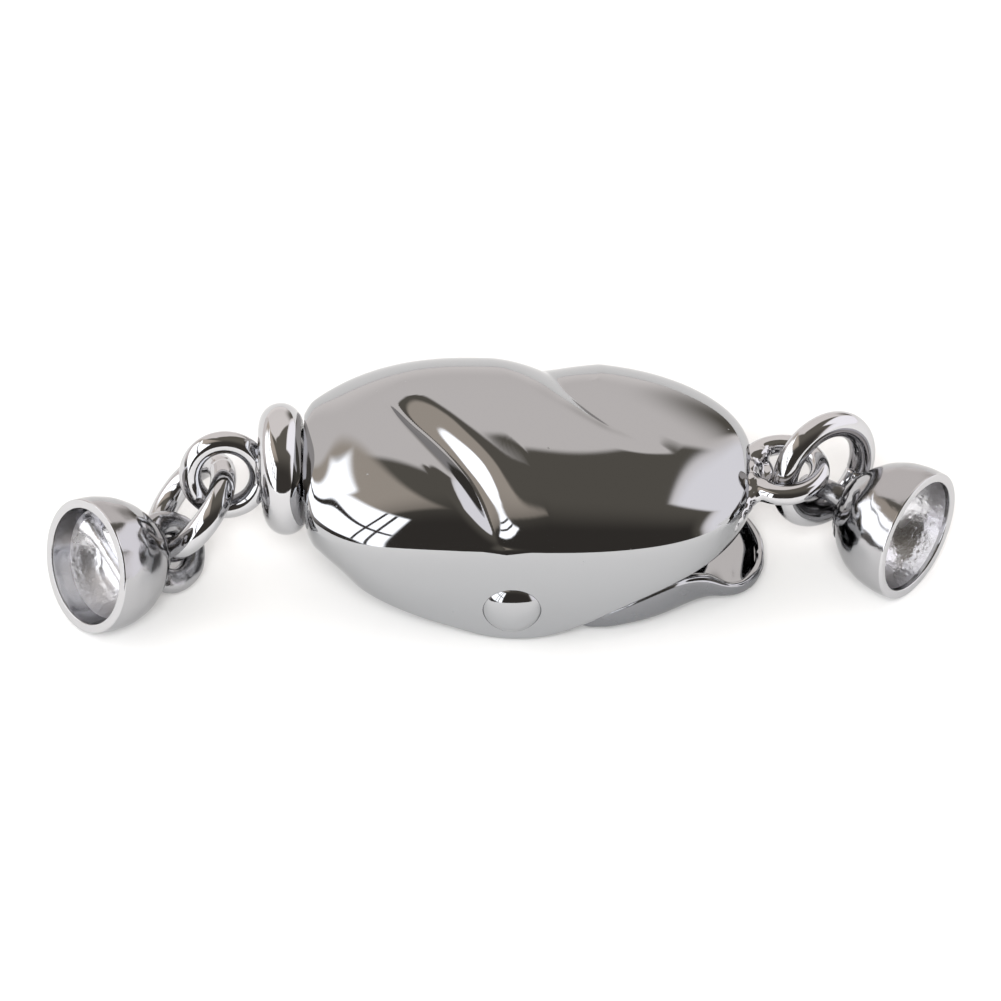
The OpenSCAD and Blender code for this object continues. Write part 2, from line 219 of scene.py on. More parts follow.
def rounded(profile, soften, steps):
    """A profile with its corners eased, resampled evenly along its length."""
    grid = 0.005
    knots = np.array(profile, float)
    along = np.concatenate([[0], np.cumsum(np.hypot(*np.diff(knots, axis=0).T))])
    even = np.linspace(0, along[-1], steps)
    fine = np.arange(0, along[-1] + grid, grid)
    weight = soft_weights(soften, grid)
    out = []
    for column in knots.T:
        line = np.interp(fine, along, column)
        left = 2 * line[0] - line[1:len(weight) // 2 + 1][::-1]
        right = 2 * line[-1] - line[-len(weight) // 2 - 1:-1][::-1]
        soft = np.convolve(np.concatenate([left, line, right]), weight, "same")
        out.append(np.interp(even, fine, soft[len(left):len(left) + len(fine)]))
    return np.array(out).T


def turned(x=0, y=0, z=0):
    """A turn about X, then Y, then Z, in degrees."""
    return Euler([math.radians(angle) for angle in (x, y, z)]).to_matrix().to_4x4()


def moved(point):
    """A move from the origin to a place given in mm."""
    return Matrix.Translation(Vector(mm(point)))


def facing(centre, tilt, heading):
    """Turns +Z to a tilt from up and a heading, and moves to a place given in mm."""
    return moved(centre) @ turned(0, tilt, heading)


def clear_selection():
    if bpy.context.object and bpy.context.object.mode != "OBJECT":
        bpy.ops.object.mode_set(mode="OBJECT")
    bpy.ops.object.select_all(action="DESELECT")


def pick(piece):
    clear_selection()
    piece.select_set(True)
    bpy.context.view_layer.objects.active = piece


def start(name):
    """Names the object that an operator has just added, with nothing else selected."""
    piece = bpy.context.object
    piece.name = name
    piece.data.name = name
    return piece


def place(piece, matrix):
    """Puts a piece that was made about the origin where it belongs, in its mesh."""
    piece.data.transform(matrix)
    piece.data.update()


def smooth(piece, angle):
    """Shades a piece smoothly, but for edges sharper than an angle in degrees."""
    pick(piece)
    bpy.ops.object.shade_smooth_by_angle(angle=math.radians(angle))


def edit(piece, operator, **values):
    """Runs a mesh operator on the whole of a piece."""
    pick(piece)
    bpy.ops.object.mode_set(mode="EDIT")
    bpy.ops.mesh.select_all(action="SELECT")
    operator(**values)
    bpy.ops.object.mode_set(mode="OBJECT")


def outwards(piece):
    """Welds a piece's seams and turns its faces outwards."""
    edit(piece, bpy.ops.mesh.remove_doubles, threshold=1e-6)
    edit(piece, bpy.ops.mesh.normals_make_consistent, inside=False)


def joined(name, pieces):
    """One object out of several."""
    clear_selection()
    for piece in pieces:
        piece.select_set(True)
    bpy.context.view_layer.objects.active = pieces[0]
    bpy.ops.object.join()
    return start(name)


def finish_modifier(piece, kind, name, **values):
    """Adds a modifier with its settings and applies it."""
    pick(piece)
    modifier = piece.modifiers.new(name, kind)
    for key, value in values.items():
        setattr(modifier, key, value)
    bpy.ops.object.modifier_apply(modifier=name)


def roughen(piece, size, amount, where=None):
    """Gives a cast lumpiness, size in mm and amount in metres, to the points that where() picks."""
    lumps = bpy.data.textures.new(piece.name + "_lumps", "CLOUDS")
    lumps.noise_scale = size * 0.001
    lumps.noise_depth = 1
    values = {"texture": lumps, "strength": amount * 2, "mid_level": 0.5, "texture_coords": "LOCAL"}
    if where:
        group = piece.vertex_groups.new(name="cast")
        group.add([v.index for v in piece.data.vertices if where(v.co)], 1.0, "REPLACE")
        values["vertex_group"] = "cast"
    finish_modifier(piece, "DISPLACE", "cast skin", **values)
    piece.vertex_groups.clear()


def made(name, points, edges, faces):
    """A new piece from points in metres, joined by edges or faces."""
    clear_selection()
    mesh = bpy.data.meshes.new(name)
    mesh.from_pydata(points, edges, faces)
    mesh.update()
    piece = bpy.data.objects.new(name, mesh)
    bpy.context.scene.collection.objects.link(piece)
    return piece


def lofted(name, rings):
    """A skin through closed rings of points, with a face over its first and its last ring."""
    rings = np.asarray(rings)
    count, around = rings.shape[:2]
    faces = []
    for low in range(0, (count - 1) * around, around):
        high = low + around
        for j in range(around):
            beside = (j + 1) % around
            faces.append((low + j, low + beside, high + beside, high + j))
    faces.append(tuple(range(around))[::-1])
    faces.append(tuple((count - 1) * around + j for j in range(around)))
    piece = made(name, mm(rings.reshape(-1, 3)).tolist(), [], faces)
    outwards(piece)
    return piece


def wire_ring(name, radius, wire, around=128, across=48):
    """A ring of round wire about its own Z axis, in metres, not yet in place."""
    clear_selection()
    bpy.ops.mesh.primitive_torus_add(location=(0, 0, 0), major_radius=radius, minor_radius=wire,
                                     major_segments=around, minor_segments=across)
    return start(name)


def lathe(name, profile, steps):
    """Spins a profile of [radius, height] in mm about Z. It is not yet in place."""
    points = [(radius * 0.001, 0, height * 0.001) for radius, height in profile]
    piece = made(name, points, [(i, i + 1) for i in range(len(profile) - 1)], [])
    edit(piece, bpy.ops.mesh.spin, steps=steps, angle=2 * math.pi, center=(0, 0, 0), axis=(0, 0, 1))
    outwards(piece)
    return piece


def pulled(name, points, faces, move, bevel):
    """Flat faces pulled out into a bar with bevelled edges. Points, move and bevel are in metres."""
    piece = made(name, points, [], faces)
    edit(piece, bpy.ops.mesh.extrude_region_move, TRANSFORM_OT_translate={"value": move})
    outwards(piece)
    finish_modifier(piece, "BEVEL", "soft edges", width=bevel, segments=3, limit_method="ANGLE",
                    angle_limit=math.radians(30))
    return piece


# Materials

def add_node(tree, kind, links=(), **values):
    """Adds a node: values set its settings or its sockets by name, with _ for a space, and links are
    (socket, from node, from socket)."""
    node = tree.nodes.new(kind)
    for key, value in values.items():
        if hasattr(node, key):
            setattr(node, key, value)
        else:
            node.inputs[key.replace("_", " ")].default_value = value
    for socket, source, output in links:
        tree.links.new(source.outputs[output], node.inputs[socket])
    return node


def plating(name, colour, haze, wave=0.0, wave_size=2.0, pits=0.0, pit_size=0.3, grain=0.0, grain_size=0.08,
            specks=0.0, brushed=0.0):
    """A plated metal. Sizes are in mm: waves are the soft unevenness left by polishing, pits are blows in the
    casting, grain is the cast skin, specks are dust on the mirror, brushed is the drawing of a wire."""
    material = bpy.data.materials.new(name)
    material.use_nodes = True
    tree = material.node_tree
    shader = tree.nodes["Principled BSDF"]
    shader.inputs["Base Color"].default_value = linear(colour)
    shader.inputs["Metallic"].default_value = 1.0
    shader.inputs["Specular Tint"].default_value = (0.75, 0.75, 0.75, 1.0)
    shader.inputs["Roughness"].default_value = haze
    surface = add_node(tree, "ShaderNodeTexCoord")
    normal = None

    def noise(size, detail):
        return add_node(tree, "ShaderNodeTexNoise", [("Vector", surface, "Object")],
                        Scale=1000.0 / size, Detail=detail)

    def cells(size):
        return add_node(tree, "ShaderNodeTexVoronoi", [("Vector", surface, "Object")], Scale=1000.0 / size)

    def bump(height, output, distance):
        nonlocal normal
        links = [("Height", height, output)] + ([("Normal", normal, "Normal")] if normal else [])
        normal = add_node(tree, "ShaderNodeBump", links, Strength=1.0, Distance=distance * 0.001)

    if wave:
        bump(noise(wave_size, 1.0), "Fac", wave)
    if grain:
        bump(noise(grain_size, 4.0), "Fac", grain)
    # hairline polishing marks: long thin noise, too fine to show at the real 0.005 mm, drawn at 0.04 mm
    stretch = add_node(tree, "ShaderNodeMapping", [("Vector", surface, "Object")],
                       Scale=(1.0, 14.0, 14.0), Rotation=(0.3, 0.2, 0.5))
    marks = add_node(tree, "ShaderNodeTexNoise", [("Vector", stretch, "Vector")], Scale=1800.0, Detail=3.0)
    bump(marks, "Fac", 0.00012 + brushed)
    if pits:
        dip = add_node(tree, "ShaderNodeMapRange", [("Value", cells(pit_size), "Distance")], From_Max=0.35)
        bump(dip, "Result", pits)
    tree.links.new(normal.outputs["Normal"], shader.inputs["Normal"])
    # cloudiness of the mirror where fingers and cloths have been
    rough = add_node(tree, "ShaderNodeMapRange", [("Value", noise(3.5, 3.0), "Fac")],
                     From_Min=0.35, From_Max=0.7, To_Min=haze * 0.7, To_Max=haze * 1.6)
    if specks:
        spot = add_node(tree, "ShaderNodeMapRange", [("Value", cells(0.95), "Distance")],
                        From_Min=0.03, From_Max=0.06, To_Min=specks, To_Max=0.0)
        rough = add_node(tree, "ShaderNodeMath", [(0, rough, "Result"), (1, spot, "Result")],
                         operation="ADD")
    tree.links.new(rough.outputs[0], shader.inputs["Roughness"])
    return material


FINISHES = {}


def make_finishes():
    look = bpy.context.scene.clasp_plating
    # bright chrome over a polished casting: a clean mirror with faint clouds, dust and shallow waves
    FINISHES["shell"] = plating("bright_chrome_over_polished_casting", look.bright, look.haze, wave=0.004,
                                wave_size=5.0, specks=0.25)
    # the same bath inside the shell, where no wheel reaches: duller and grained
    FINISHES["inside"] = plating("thin_chrome_inside_casting", look.tumbled, 0.16, wave=0.01, wave_size=1.5,
                                 grain=0.003, grain_size=0.2)
    # tumbled and plated lever: a softer mirror with a wavy skin
    FINISHES["lever"] = plating("bright_chrome_over_tumbled_casting", look.bright, 0.05, wave=0.008,
                                wave_size=2.6, specks=0.2)
    # the lever's underside, never polished: duller, and greyer as painted shade for the table's shadow under
    # it
    FINISHES["lever_under_painted_shade"] = plating("dull_chrome_with_painted_shade_under_lever", look.under, 0.2, wave=0.008, wave_size=2.0,
                                      grain=0.002, grain_size=0.2)
    # plated round wire: a mirror with wobbling edges where the wire was bent, lighter than the shell's
    # plating as painted light
    FINISHES["wire"] = plating("bright_chrome_on_drawn_wire_with_painted_light", look.wire, 0.06, wave=0.014, wave_size=1.1,
                               brushed=0.0002)
    # plated rivet, its head peened round: tiny flats from the punch
    FINISHES["rivet"] = plating("bright_chrome_on_peened_rivet", look.bright, 0.04, wave=0.006,
                                wave_size=0.9)
    # cups: polished on the bell, with dents left from the casting
    FINISHES["cup"] = plating("bright_chrome_over_cast_cup", look.tumbled, 0.12, wave=0.022, wave_size=1.1,
                              grain=0.004, grain_size=0.3)
    # cups' bottoms and bars: the cast skin shows through the plating, grained and lightly pitted, and its
    # pale silvery colour is painted light for hollows that mirror the dim room
    FINISHES["cup_skin_painted_light"] = plating("chrome_over_rough_cast_skin_with_painted_light", look.recess_with_painted_light, 0.27, wave=0.05,
                                   wave_size=0.9, grain=0.02, grain_size=0.2, pits=0.012, pit_size=0.34)
    # loops: cast and only tumbled, so lumpy but bright
    FINISHES["cup_loop"] = plating("bright_chrome_over_cast_loop", look.tumbled, 0.2, wave=0.014,
                                   wave_size=0.9, grain=0.006, grain_size=0.25, pits=0.014, pit_size=0.5)


def dress(piece, *finishes):
    piece.data.materials.clear()
    for finish in finishes:
        piece.data.materials.append(FINISHES[finish])


# The shell

def shell_shape():
    """Functions of x, in mm: the shell's half width, its dome's height, and its lower edge's angle in radians
    and height."""
    half = bpy.context.scene.clasp_shell.half_width * 1000
    rows = np.array(DOME)
    # an even curve through the squares of the dome's heights, held closer at the right end
    curve = np.polyfit(rows[:, 0] / HALF_LENGTH, rows[:, 1] ** 2, 8, w=np.where(rows[:, 0] > 8.9, 3, 1))

    def fuller(x, amount, ease):
        """Left of -8 the wall closes in less fast, where the collar meets it."""
        past = -8.0 - x
        return x + amount * (past + np.sqrt(past * past + ease))

    def plan(x):
        corner_length, corner_depth = 0.35, 0.11
        past = np.clip(MOUTH + corner_length - x, 0, corner_length) / corner_length
        corner = 1 - corner_depth * past ** 2
        x = fuller(x, 0.165, 0.4)
        power = np.where(x < 0, 3.6, 2.6)
        return corner * half * np.maximum(1e-9, 1 - (np.abs(x) / HALF_LENGTH) ** power) ** (1 / power)

    def dome(x):
        return np.sqrt(np.maximum(0.02, np.polyval(curve, fuller(x, 0.25, 0.35) / HALF_LENGTH))) - 0.03

    angles = [[x, math.acos(min(0.99, width / float(plan(np.array(x)))))] for x, width, _ in EDGE]
    return plan, dome, eased(angles, 1, 0.35), eased(EDGE, 2, 0.35)


def crease_pull(rows, x, t, sharp, floor):
    """How far a crease pulls the wall in at (x, t): on its left the lobe rolls over into it, on its right a
    hollow floor climbs to an even flank with a soft brow. The nearest stretch of the crease's path counts."""
    arm, brow = 4.6, 0.0006
    table = np.array(rows, float)
    fine = np.linspace(table[0, 0], table[-1, 0], 160)
    path_s = eased(rows, 1, 0.18)(fine) * math.pi / 180 * arm
    s = np.radians(t) * arm
    best = np.full(x.shape, 1e9)
    side, along = np.zeros(x.shape), np.zeros(x.shape)
    for k in range(len(fine) - 1):
        ax, ay, bx, by = fine[k], path_s[k], fine[k + 1], path_s[k + 1]
        dx, dy = bx - ax, by - ay
        u = np.clip(((x - ax) * dx + (s - ay) * dy) / (dx * dx + dy * dy), 0, 1)
        ex, ey = x - ax - u * dx, s - ay - u * dy
        d = ex * ex + ey * ey
        near = d < best
        best = np.where(near, d, best)
        side = np.where(near, dx * ey - dy * ex, side)
        along = np.where(near, ax + u * dx, along)
    depth, left, right = (np.maximum(least, eased(rows, column, 0.2)(along))
                          for column, least in ((2, 0), (3, 0.2), (4, 0.2)))
    away = np.sqrt(best + sharp * sharp) - sharp
    rolled = (1 - np.clip(away / left, 0, 1)) ** 2
    left_to_go = 1 - away / right
    ramp = (np.sqrt(left_to_go ** 2 + brow) + left_to_go) / (math.sqrt(1 + brow) + 1)
    hollow = (1 - floor) * ramp + floor * np.exp(-(away / 0.75) ** 2)
    return depth * np.where(side > 0, hollow, rolled)


def shell_rings():
    """Sections of the shell from its mouth to its right end. Each goes round the outer skin, a lip, the inner
    skin and the other lip."""
    plan, dome, edge_angle, edge_height = shell_shape()
    sizes = bpy.context.scene.clasp_shell
    outer, inner, lip = 230, 36, 6
    least = 0.04
    # more sections where the creases cross and where the end rounds off
    line = np.linspace(MOUTH, 8.998, 4000)
    density = 1 + 0.9 * np.exp(-((line + 1.8) / 3.2) ** 2) + 0.3 / np.sqrt(1.0005 - line / HALF_LENGTH)
    total = np.concatenate([[0], np.cumsum((density[1:] + density[:-1]) / 2)])
    x = np.interp(np.linspace(0, total[-1], sizes.stations), total, line)
    low = np.minimum(np.degrees(edge_angle(x)), np.degrees(math.acos(0.3)))

    def skin(sweep, inset):
        """One skin, where t is the angle in degrees from the front over the top."""
        t = -low[:, None] + (180 + 2 * low[:, None]) * sweep[None, :]
        xx = np.repeat(x[:, None], len(sweep), 1)
        up = np.minimum(t, 180 - t)
        below = (BELT - edge_height(x)) / np.sin(np.radians(low))
        rise = step(-14, 14, up)
        h = below[:, None] + (dome(x) - below)[:, None] * rise
        pull = crease_pull(FRONT_CREASE, xx, t, 0.04, 0.28)
        pull = pull + crease_pull(BACK_CREASE, xx, t, 0.06, 0.1) + inset
        ry = np.maximum(least, plan(xx) - pull)
        rz = np.maximum(least, h - pull * step(-6, 14, up))
        return np.stack([xx, -ry * np.cos(np.radians(t)), BELT + rz * np.sin(np.radians(t))], -1)

    # the skins stop short of the edge by 0.14 mm of their 17 mm, where the lips begin
    edge_in = 0.14 / 17
    outside = skin(np.linspace(edge_in, 1 - edge_in, outer), 0)
    inside = skin(np.linspace(edge_in, 1 - edge_in, inner), sizes.wall * 1000)[:, ::-1]
    # rounded lips: half an oval from one skin to the other
    turn = np.linspace(0, math.pi, lip + 2)[1:-1]
    lip_reach, oval = 0.13, 0.8

    def lips(a, b, before):
        middle, arm = (a + b) / 2, (a - b) / 2
        out = a - before
        out /= np.maximum(1e-6, np.linalg.norm(out, axis=-1, keepdims=True))
        return np.stack([middle + arm * math.copysign(abs(math.cos(w)) ** oval, math.cos(w))
                         + out * lip_reach * math.sin(w) ** oval for w in turn], 1)

    far = lips(outside[:, -1], inside[:, 0], outside[:, -2])
    near = lips(inside[:, -1], outside[:, 0], inside[:, -2])
    rings = np.concatenate([outside, far, inside, near], 1)
    # the mouth is cut square to the collar, which droops by 4.5 degrees
    cut = -8.83 - 0.0787 * (rings[..., 2] - 4.86)
    fade = 1 - step(0, 1.2, rings[..., 0] - MOUTH)
    rings[..., 0] = rings[..., 0] + np.maximum(0, cut - MOUTH) * fade
    return rings


def cut_seats(shell):
    """Cuts a flat seat under each rivet head, square to the pin, and the pin's bore."""
    seat, seat_depth, seat_radius = 5.18, 1.0, 1.15
    bore_middle, bore_depth, bore_radius = 5.0, 2.2, 0.65
    for side in (-1, 1):
        for out, radius, depth, corners in ((seat + seat_depth / 2, seat_radius, seat_depth, 96),
                                            (bore_middle, bore_radius, bore_depth, 64)):
            clear_selection()
            bpy.ops.mesh.primitive_cylinder_add(vertices=corners, radius=radius * 0.001, depth=depth * 0.001,
                                                location=mm([PIVOT[0], side * out, PIVOT[1]]),
                                                rotation=(math.pi / 2, 0, 0))
            cutter = start("cutter")
            finish_modifier(shell, "BOOLEAN", "seat", operation="DIFFERENCE", object=cutter, solver="EXACT")
            bpy.data.objects.remove(cutter)


def shell_dome():
    """The domed shell, bright outside and duller on the faces that look towards its hollow."""
    shell = lofted("shell_dome", shell_rings())
    cut_seats(shell)
    smooth(shell, 40)
    dress(shell, "shell", "inside")
    hollow_middle, ear_inside, ear_top = 0.0044, 0.0049, 0.003
    for face in shell.data.polygons:
        c = face.center
        outward = Vector((0, c.y, c.z - hollow_middle))
        within = abs(c.y) < ear_inside or c.z > ear_top
        if face.normal.dot(outward) < -0.00002 and within:
            face.material_index = 1
    return shell


def end_eye():
    """The right end eye and the lumps of solder that carry it, melted into one."""
    eye = wire_ring("end_eye", 0.00148, 0.00042)
    place(eye, moved([10.2, 0, 4.8]))
    lumps = [eye]
    for centre, size in SOLDER:
        clear_selection()
        bpy.ops.mesh.primitive_uv_sphere_add(segments=48, ring_count=24, radius=0.001, location=(0, 0, 0))
        lump = start("solder")
        place(lump, moved(centre) @ Matrix.Diagonal((*size, 1)))
        lumps.append(lump)
    eye = joined("end_eye", lumps)
    finish_modifier(eye, "REMESH", "melted", mode="VOXEL", voxel_size=0.00005)
    finish_modifier(eye, "SMOOTH", "flowed", factor=0.5, iterations=40)
    smooth(eye, 180)
    dress(eye, "wire")
    return eye


class CLASP_OT_shell(Operator):
    """Builds the domed shell with its two creases and its end eye"""
    bl_idname = "clasp.shell"
    bl_label = "Shell"

    def execute(self, context):
        for piece in (shell_dome(), end_eye()):
            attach(piece, "clasp")
            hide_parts("shell")
        return {"FINISHED"}


class CLASP_OT_rivet(Operator):
    """Builds the rivet: its pin and a peened round head on each ear"""
    bl_idname = "clasp.rivet"
    bl_label = "Rivet"

    def execute(self, context):
        pin, seat, head, head_height = 0.6, 5.2, 1.2, 0.65
        sweep = np.linspace(math.pi / 2, 0, 28)[1:]
        dome = [[head * math.sin(a), seat + head_height * math.cos(a)] for a in sweep]
        profile = [[pin, 0], [pin, seat], [head - 0.06, seat]] + dome
        half = lathe("rivet", profile, 96)
        other = half.copy()
        other.data = half.data.copy()
        bpy.context.scene.collection.objects.link(other)
        other.data.transform(Matrix.Scale(-1, 4, (0, 0, 1)))
        rivet = joined("rivet_pin", [half, other])
        outwards(rivet)
        place(rivet, moved([PIVOT[0], 0, PIVOT[1]]) @ turned(90))
        smooth(rivet, 40)
        dress(rivet, "rivet")
        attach(rivet, "clasp")
        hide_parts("rivet")
        return {"FINISHED"}


# The lever

def lever_rings():
    """Sections of the spoon from the rivet to the tab's end, each going round the outside, a lip, the inside
    and the other lip."""
    column = [eased(LEVER, c, 0.25) for c in range(1, 6)]
    count, outer, inner, lip = 150, 76, 56, 6
    begin, end = LEVER[0][0], LEVER[-1][0]
    round_from, fullness, least = 8.9, 3.2, 0.02
    u = np.linspace(0, 1, count)
    x = begin + (end - begin) * np.sin(u * math.pi / 2) ** 0.9
    half, low, rim, box, lean = (c(x) for c in column)
    # the tab's end closes in a round, and its underside climbs to the rim there
    past = np.clip((x - round_from) / (end - round_from), 0, 1)
    closing = np.maximum(1e-8, 1 - past ** fullness) ** (1 / fullness)
    underside = low + (rim - 0.12 - low) * step(round_from, end, x) ** 2

    def skin(at, sweep, width, deep, power):
        a = math.pi * sweep[None, :]
        y = lean[:, None] - width[:, None] * np.sign(np.cos(a)) * np.abs(np.cos(a)) ** power[:, None]
        z = rim[:, None] - deep[:, None] * np.abs(np.sin(a)) ** power[:, None]
        return np.stack([np.repeat(at[:, None], len(sweep), 1), y, z], -1)

    outside = skin(x, np.linspace(0, 1, outer), half * closing, np.maximum(least, rim - underside), 2 / box)
    # the tab is a tray: thinner there, its floor flat and its walls steep, with a broad lip at the end
    tab = step(7.0, 8.2, x)
    wall, floor = 0.6 - 0.28 * tab, 0.6 - 0.24 * tab
    deep = np.maximum(least, (rim - low - floor) * (1 - step(9.3, end, x)))
    inside = skin(x - 0.35 * step(8.3, end, x), np.linspace(0, 1, inner), (half - wall) * closing, deep,
                  2 / (box + 1.5 * tab))[:, ::-1]
    turn = np.linspace(0, math.pi, lip + 2)[1:-1]
    lip_rise = np.array([0, 0, 0.22])

    def lips(p, q):
        middle, arm = (p + q) / 2, (p - q) / 2
        share = np.minimum(1, np.linalg.norm(arm, axis=-1, keepdims=True) / 0.3)
        return np.stack([middle + arm * math.cos(w) + lip_rise * math.sin(w) * share for w in turn], 1)

    far = lips(outside[:, -1], inside[:, 0])
    near = lips(inside[:, -1], outside[:, 0])
    return np.concatenate([outside, far, inside, near], 1)


def lever_spoon():
    """The spoon with its tab: bright inside and on its rim, dull on its outer faces and darker there as
    painted shade.
    """
    spoon = lofted("lever_spoon", lever_rings())
    smooth(spoon, 50)
    dress(spoon, "lever", "lever_under_painted_shade")
    # faces that look down or outwards take the duller plating, darkened as painted shade
    for face in spoon.data.polygons:
        looks_out = face.normal.y * face.center.y > 0
        if face.normal.z < -0.3 or face.normal.z < 0.5 and looks_out:
            face.material_index = 1
    return spoon


def lever_tube():
    """The tube that turns on the pin, with its ends bevelled."""
    end = [[1.25, 3.97], [1.17, 4.05], [0.7, 4.05], [0.65, 4.0]]
    profile = [[r, -z] for r, z in end[::-1]] + [[1.25, 0]] + end + [[0.65, 0], [0.65, -4.0]]
    tube = lathe("lever_tube", profile, 96)
    place(tube, moved([PIVOT[0], 0, PIVOT[1]]) @ turned(90))
    smooth(tube, 40)
    dress(tube, "lever")
    return tube


def lever_cam():
    """The cam arm: its outline pulled out across the clasp."""
    half_width = 0.75
    outline = [tuple(mm([x, -half_width, z])) for x, z in CAM]
    cam = pulled("lever_cam", outline, [tuple(range(len(CAM)))], (0, 2 * half_width * 0.001, 0), 0.00009)
    smooth(cam, 40)
    dress(cam, "lever")
    return cam


class CLASP_OT_lever(Operator):
    """Builds the lever: its spoon, the tube that turns on the pin and the cam arm inside the shell"""
    bl_idname = "clasp.lever"
    bl_label = "Lever"

    def execute(self, context):
        for piece in (lever_spoon(), lever_tube(), lever_cam()):
            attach(piece, "lever")
            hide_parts("lever")
        return {"FINISHED"}


# The connector, the jump rings and the bead cups

def slotted_tongue():
    """The tongue: a flat bar with a slot for the cam's tooth."""
    under, thickness = 3.9, 0.8
    points = [tuple(mm([x, y, under])) for x, y in SLAB + SLOT]
    faces = [(0, 1, 5, 4), (1, 2, 6, 5), (2, 3, 7, 6), (3, 0, 4, 7)]
    return pulled("tongue", points, faces, (0, 0, thickness * 0.001), 0.0001)


class CLASP_OT_connector(Operator):
    """Builds the connector: left eye, collar ring, shank and the slotted tongue"""
    bl_idname = "clasp.connector"
    bl_label = "Connector"

    def execute(self, context):
        links = context.scene.clasp_links
        # the collar droops a little, and the shank goes through it, narrowing to the eye
        droop = moved([-9.72, 0, 4.86]) @ turned(0, -4.5) @ turned(0, 90)
        collar = wire_ring("collar", 0.00179, 0.00086, 160, 64)
        place(collar, droop)
        shank = lathe("shank", rounded(SHANK, 0.05, 60), 96)
        place(shank, droop)
        tongue = slotted_tongue()
        eye = wire_ring("left_eye", links.eye_radius, links.eye_wire)
        place(eye, moved([-12.05, 0.1, 4.45]) @ turned(70))
        for piece in (collar, shank, tongue, eye):
            smooth(piece, 45)
            dress(piece, "wire")
            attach(piece, "clasp")
            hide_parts("connector")
        return {"FINISHED"}


def cut_seam(ring, radius, seam):
    """Sinks a fine groove into a ring where its ends meet, at an angle in degrees."""
    half_width, depth = 0.1, 0.09
    for v in ring.data.vertices:
        heading = math.atan2(v.co.y, v.co.x)
        angle = abs((heading - math.radians(seam) + math.pi) % (2 * math.pi) - math.pi)
        off = angle * radius * 1000
        if off < half_width:
            middle = Vector((math.cos(heading), math.sin(heading), 0)) * radius
            v.co = middle + (v.co - middle) * (1 - depth * (1 - off / half_width) ** 2)


class CLASP_OT_rings(Operator):
    """Bends the two heavy jump rings and closes each with a fine seam"""
    bl_idname = "clasp.rings"
    bl_label = "Jump rings"

    def execute(self, context):
        links = context.scene.clasp_links
        for node, spot in (("jump_ring_left", LEFT_RING), ("jump_ring_right", RIGHT_RING)):
            ring = wire_ring(node + "_wire", links.ring_radius, links.ring_wire, 192, 56)
            cut_seam(ring, links.ring_radius, SEAMS[node])
            place(ring, facing(*spot))
            smooth(ring, 60)
            dress(ring, "wire")
            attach(ring, "clasp")
            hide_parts(node)
        return {"FINISHED"}


def cup_bell(node, polished_to):
    """A cup's bell: its outside, a broad flat lip with both edges rounded, and a bowl that is polished near
    the lip and left as cast below. The cast faces and the back wear a paler plating, painted light, and the
    lip the brighter wire plating, a painted highlight. The rim lies at the origin."""
    sizes = bpy.context.scene.clasp_cups
    rim, depth = sizes.rim_radius * 1000, sizes.depth * 1000
    outer = [[r * rim, -d * depth] for r, d in BELL]
    outside = rounded([[0, -depth], [0.3, 0.01 - depth]] + outer + [[rim * 1.002, -0.3], [rim - 0.01, -0.08]],
                      0.16, 64)
    outside[0] = [0, -depth]
    corner = 0.05
    lip = [[rim - across + corner * math.cos(a), -corner + corner * math.sin(a)]
           for across, start_at in ((0.06, 0.3), (0.33, math.pi / 2))
           for a in np.linspace(start_at, start_at + math.pi / 2 - 0.3, 6)]
    inside = rounded(BOWL, 0.1, 60)
    inside[-1] = BOWL[-1]
    bell = lathe(node + "_bell", np.concatenate([outside, lip, inside]), 144)
    dress(bell, "cup", "cup_skin_painted_light", "wire")
    bowl_floor, back, lip_under, lip_inside = -2.45, -3.05, -0.12, 2.35
    for face in bell.data.polygons:
        c = face.center
        radius, height = math.hypot(c.x, c.y) * 1000, c.z * 1000
        inner = face.normal.dot(Vector((c.x, c.y, 0))) <= 1e-7 and height > bowl_floor
        # the cast bowl below its polish and the back take the pale skin plating, painted light
        if inner and height < polished_to or height < back:
            face.material_index = 1
        # the lip takes the brighter wire plating: a painted highlight along the rim
        elif height > lip_under and radius > lip_inside:
            face.material_index = 2

    def on_back(c):
        return c.z < -0.0028 and math.hypot(c.x, c.y) > 0.0001

    def in_bowl(c):
        return -0.0026 < c.z < polished_to * 0.001 - 0.0002 and math.hypot(c.x, c.y) < 0.0022 + 0.35 * c.z

    roughen(bell, 0.55, 0.00009, on_back)
    roughen(bell, 0.7, 0.00007, in_bowl)
    return bell


def cup_bar(node, turn):
    """The cross bar for the thread, thickened where it meets the wall."""
    bar = lathe(node + "_bar", BAR, 40)
    roughen(bar, 0.5, 0.00005)
    place(bar, Matrix.Translation((0, 0, -0.00135)) @ turned(90, 0, turn))
    # the bar takes the pale skin plating, painted light
    dress(bar, "cup_skin_painted_light")
    return bar


def cup_loop(node, turn, off):
    """The cast loop behind the bell: lumpy, its two sides pressed flatter than round wire."""
    flat_from, flatness = 0.0003, 0.6
    loop = wire_ring(node + "_loop", bpy.context.scene.clasp_cups.loop_radius, 0.00049, 120, 48)
    for v in loop.data.vertices:
        if abs(v.co.z) > flat_from:
            v.co.z = math.copysign(flat_from + (abs(v.co.z) - flat_from) * flatness, v.co.z)
    roughen(loop, 0.9, 0.00005)
    place(loop, Matrix.Translation(Vector(off) * 0.001 + Vector((0, 0, -0.0041))) @ turned(90, 0, turn))
    dress(loop, "cup_loop")
    return loop


def cup_foot(node):
    """The thick foot with which the loop grows out of the bell."""
    swell = rounded(FOOT, 0.08, 40)
    swell[0, 0] = swell[-1, 0] = 0
    foot = lathe(node + "_foot", swell, 72)
    roughen(foot, 0.5, 0.00008)
    dress(foot, "cup_loop")
    return foot


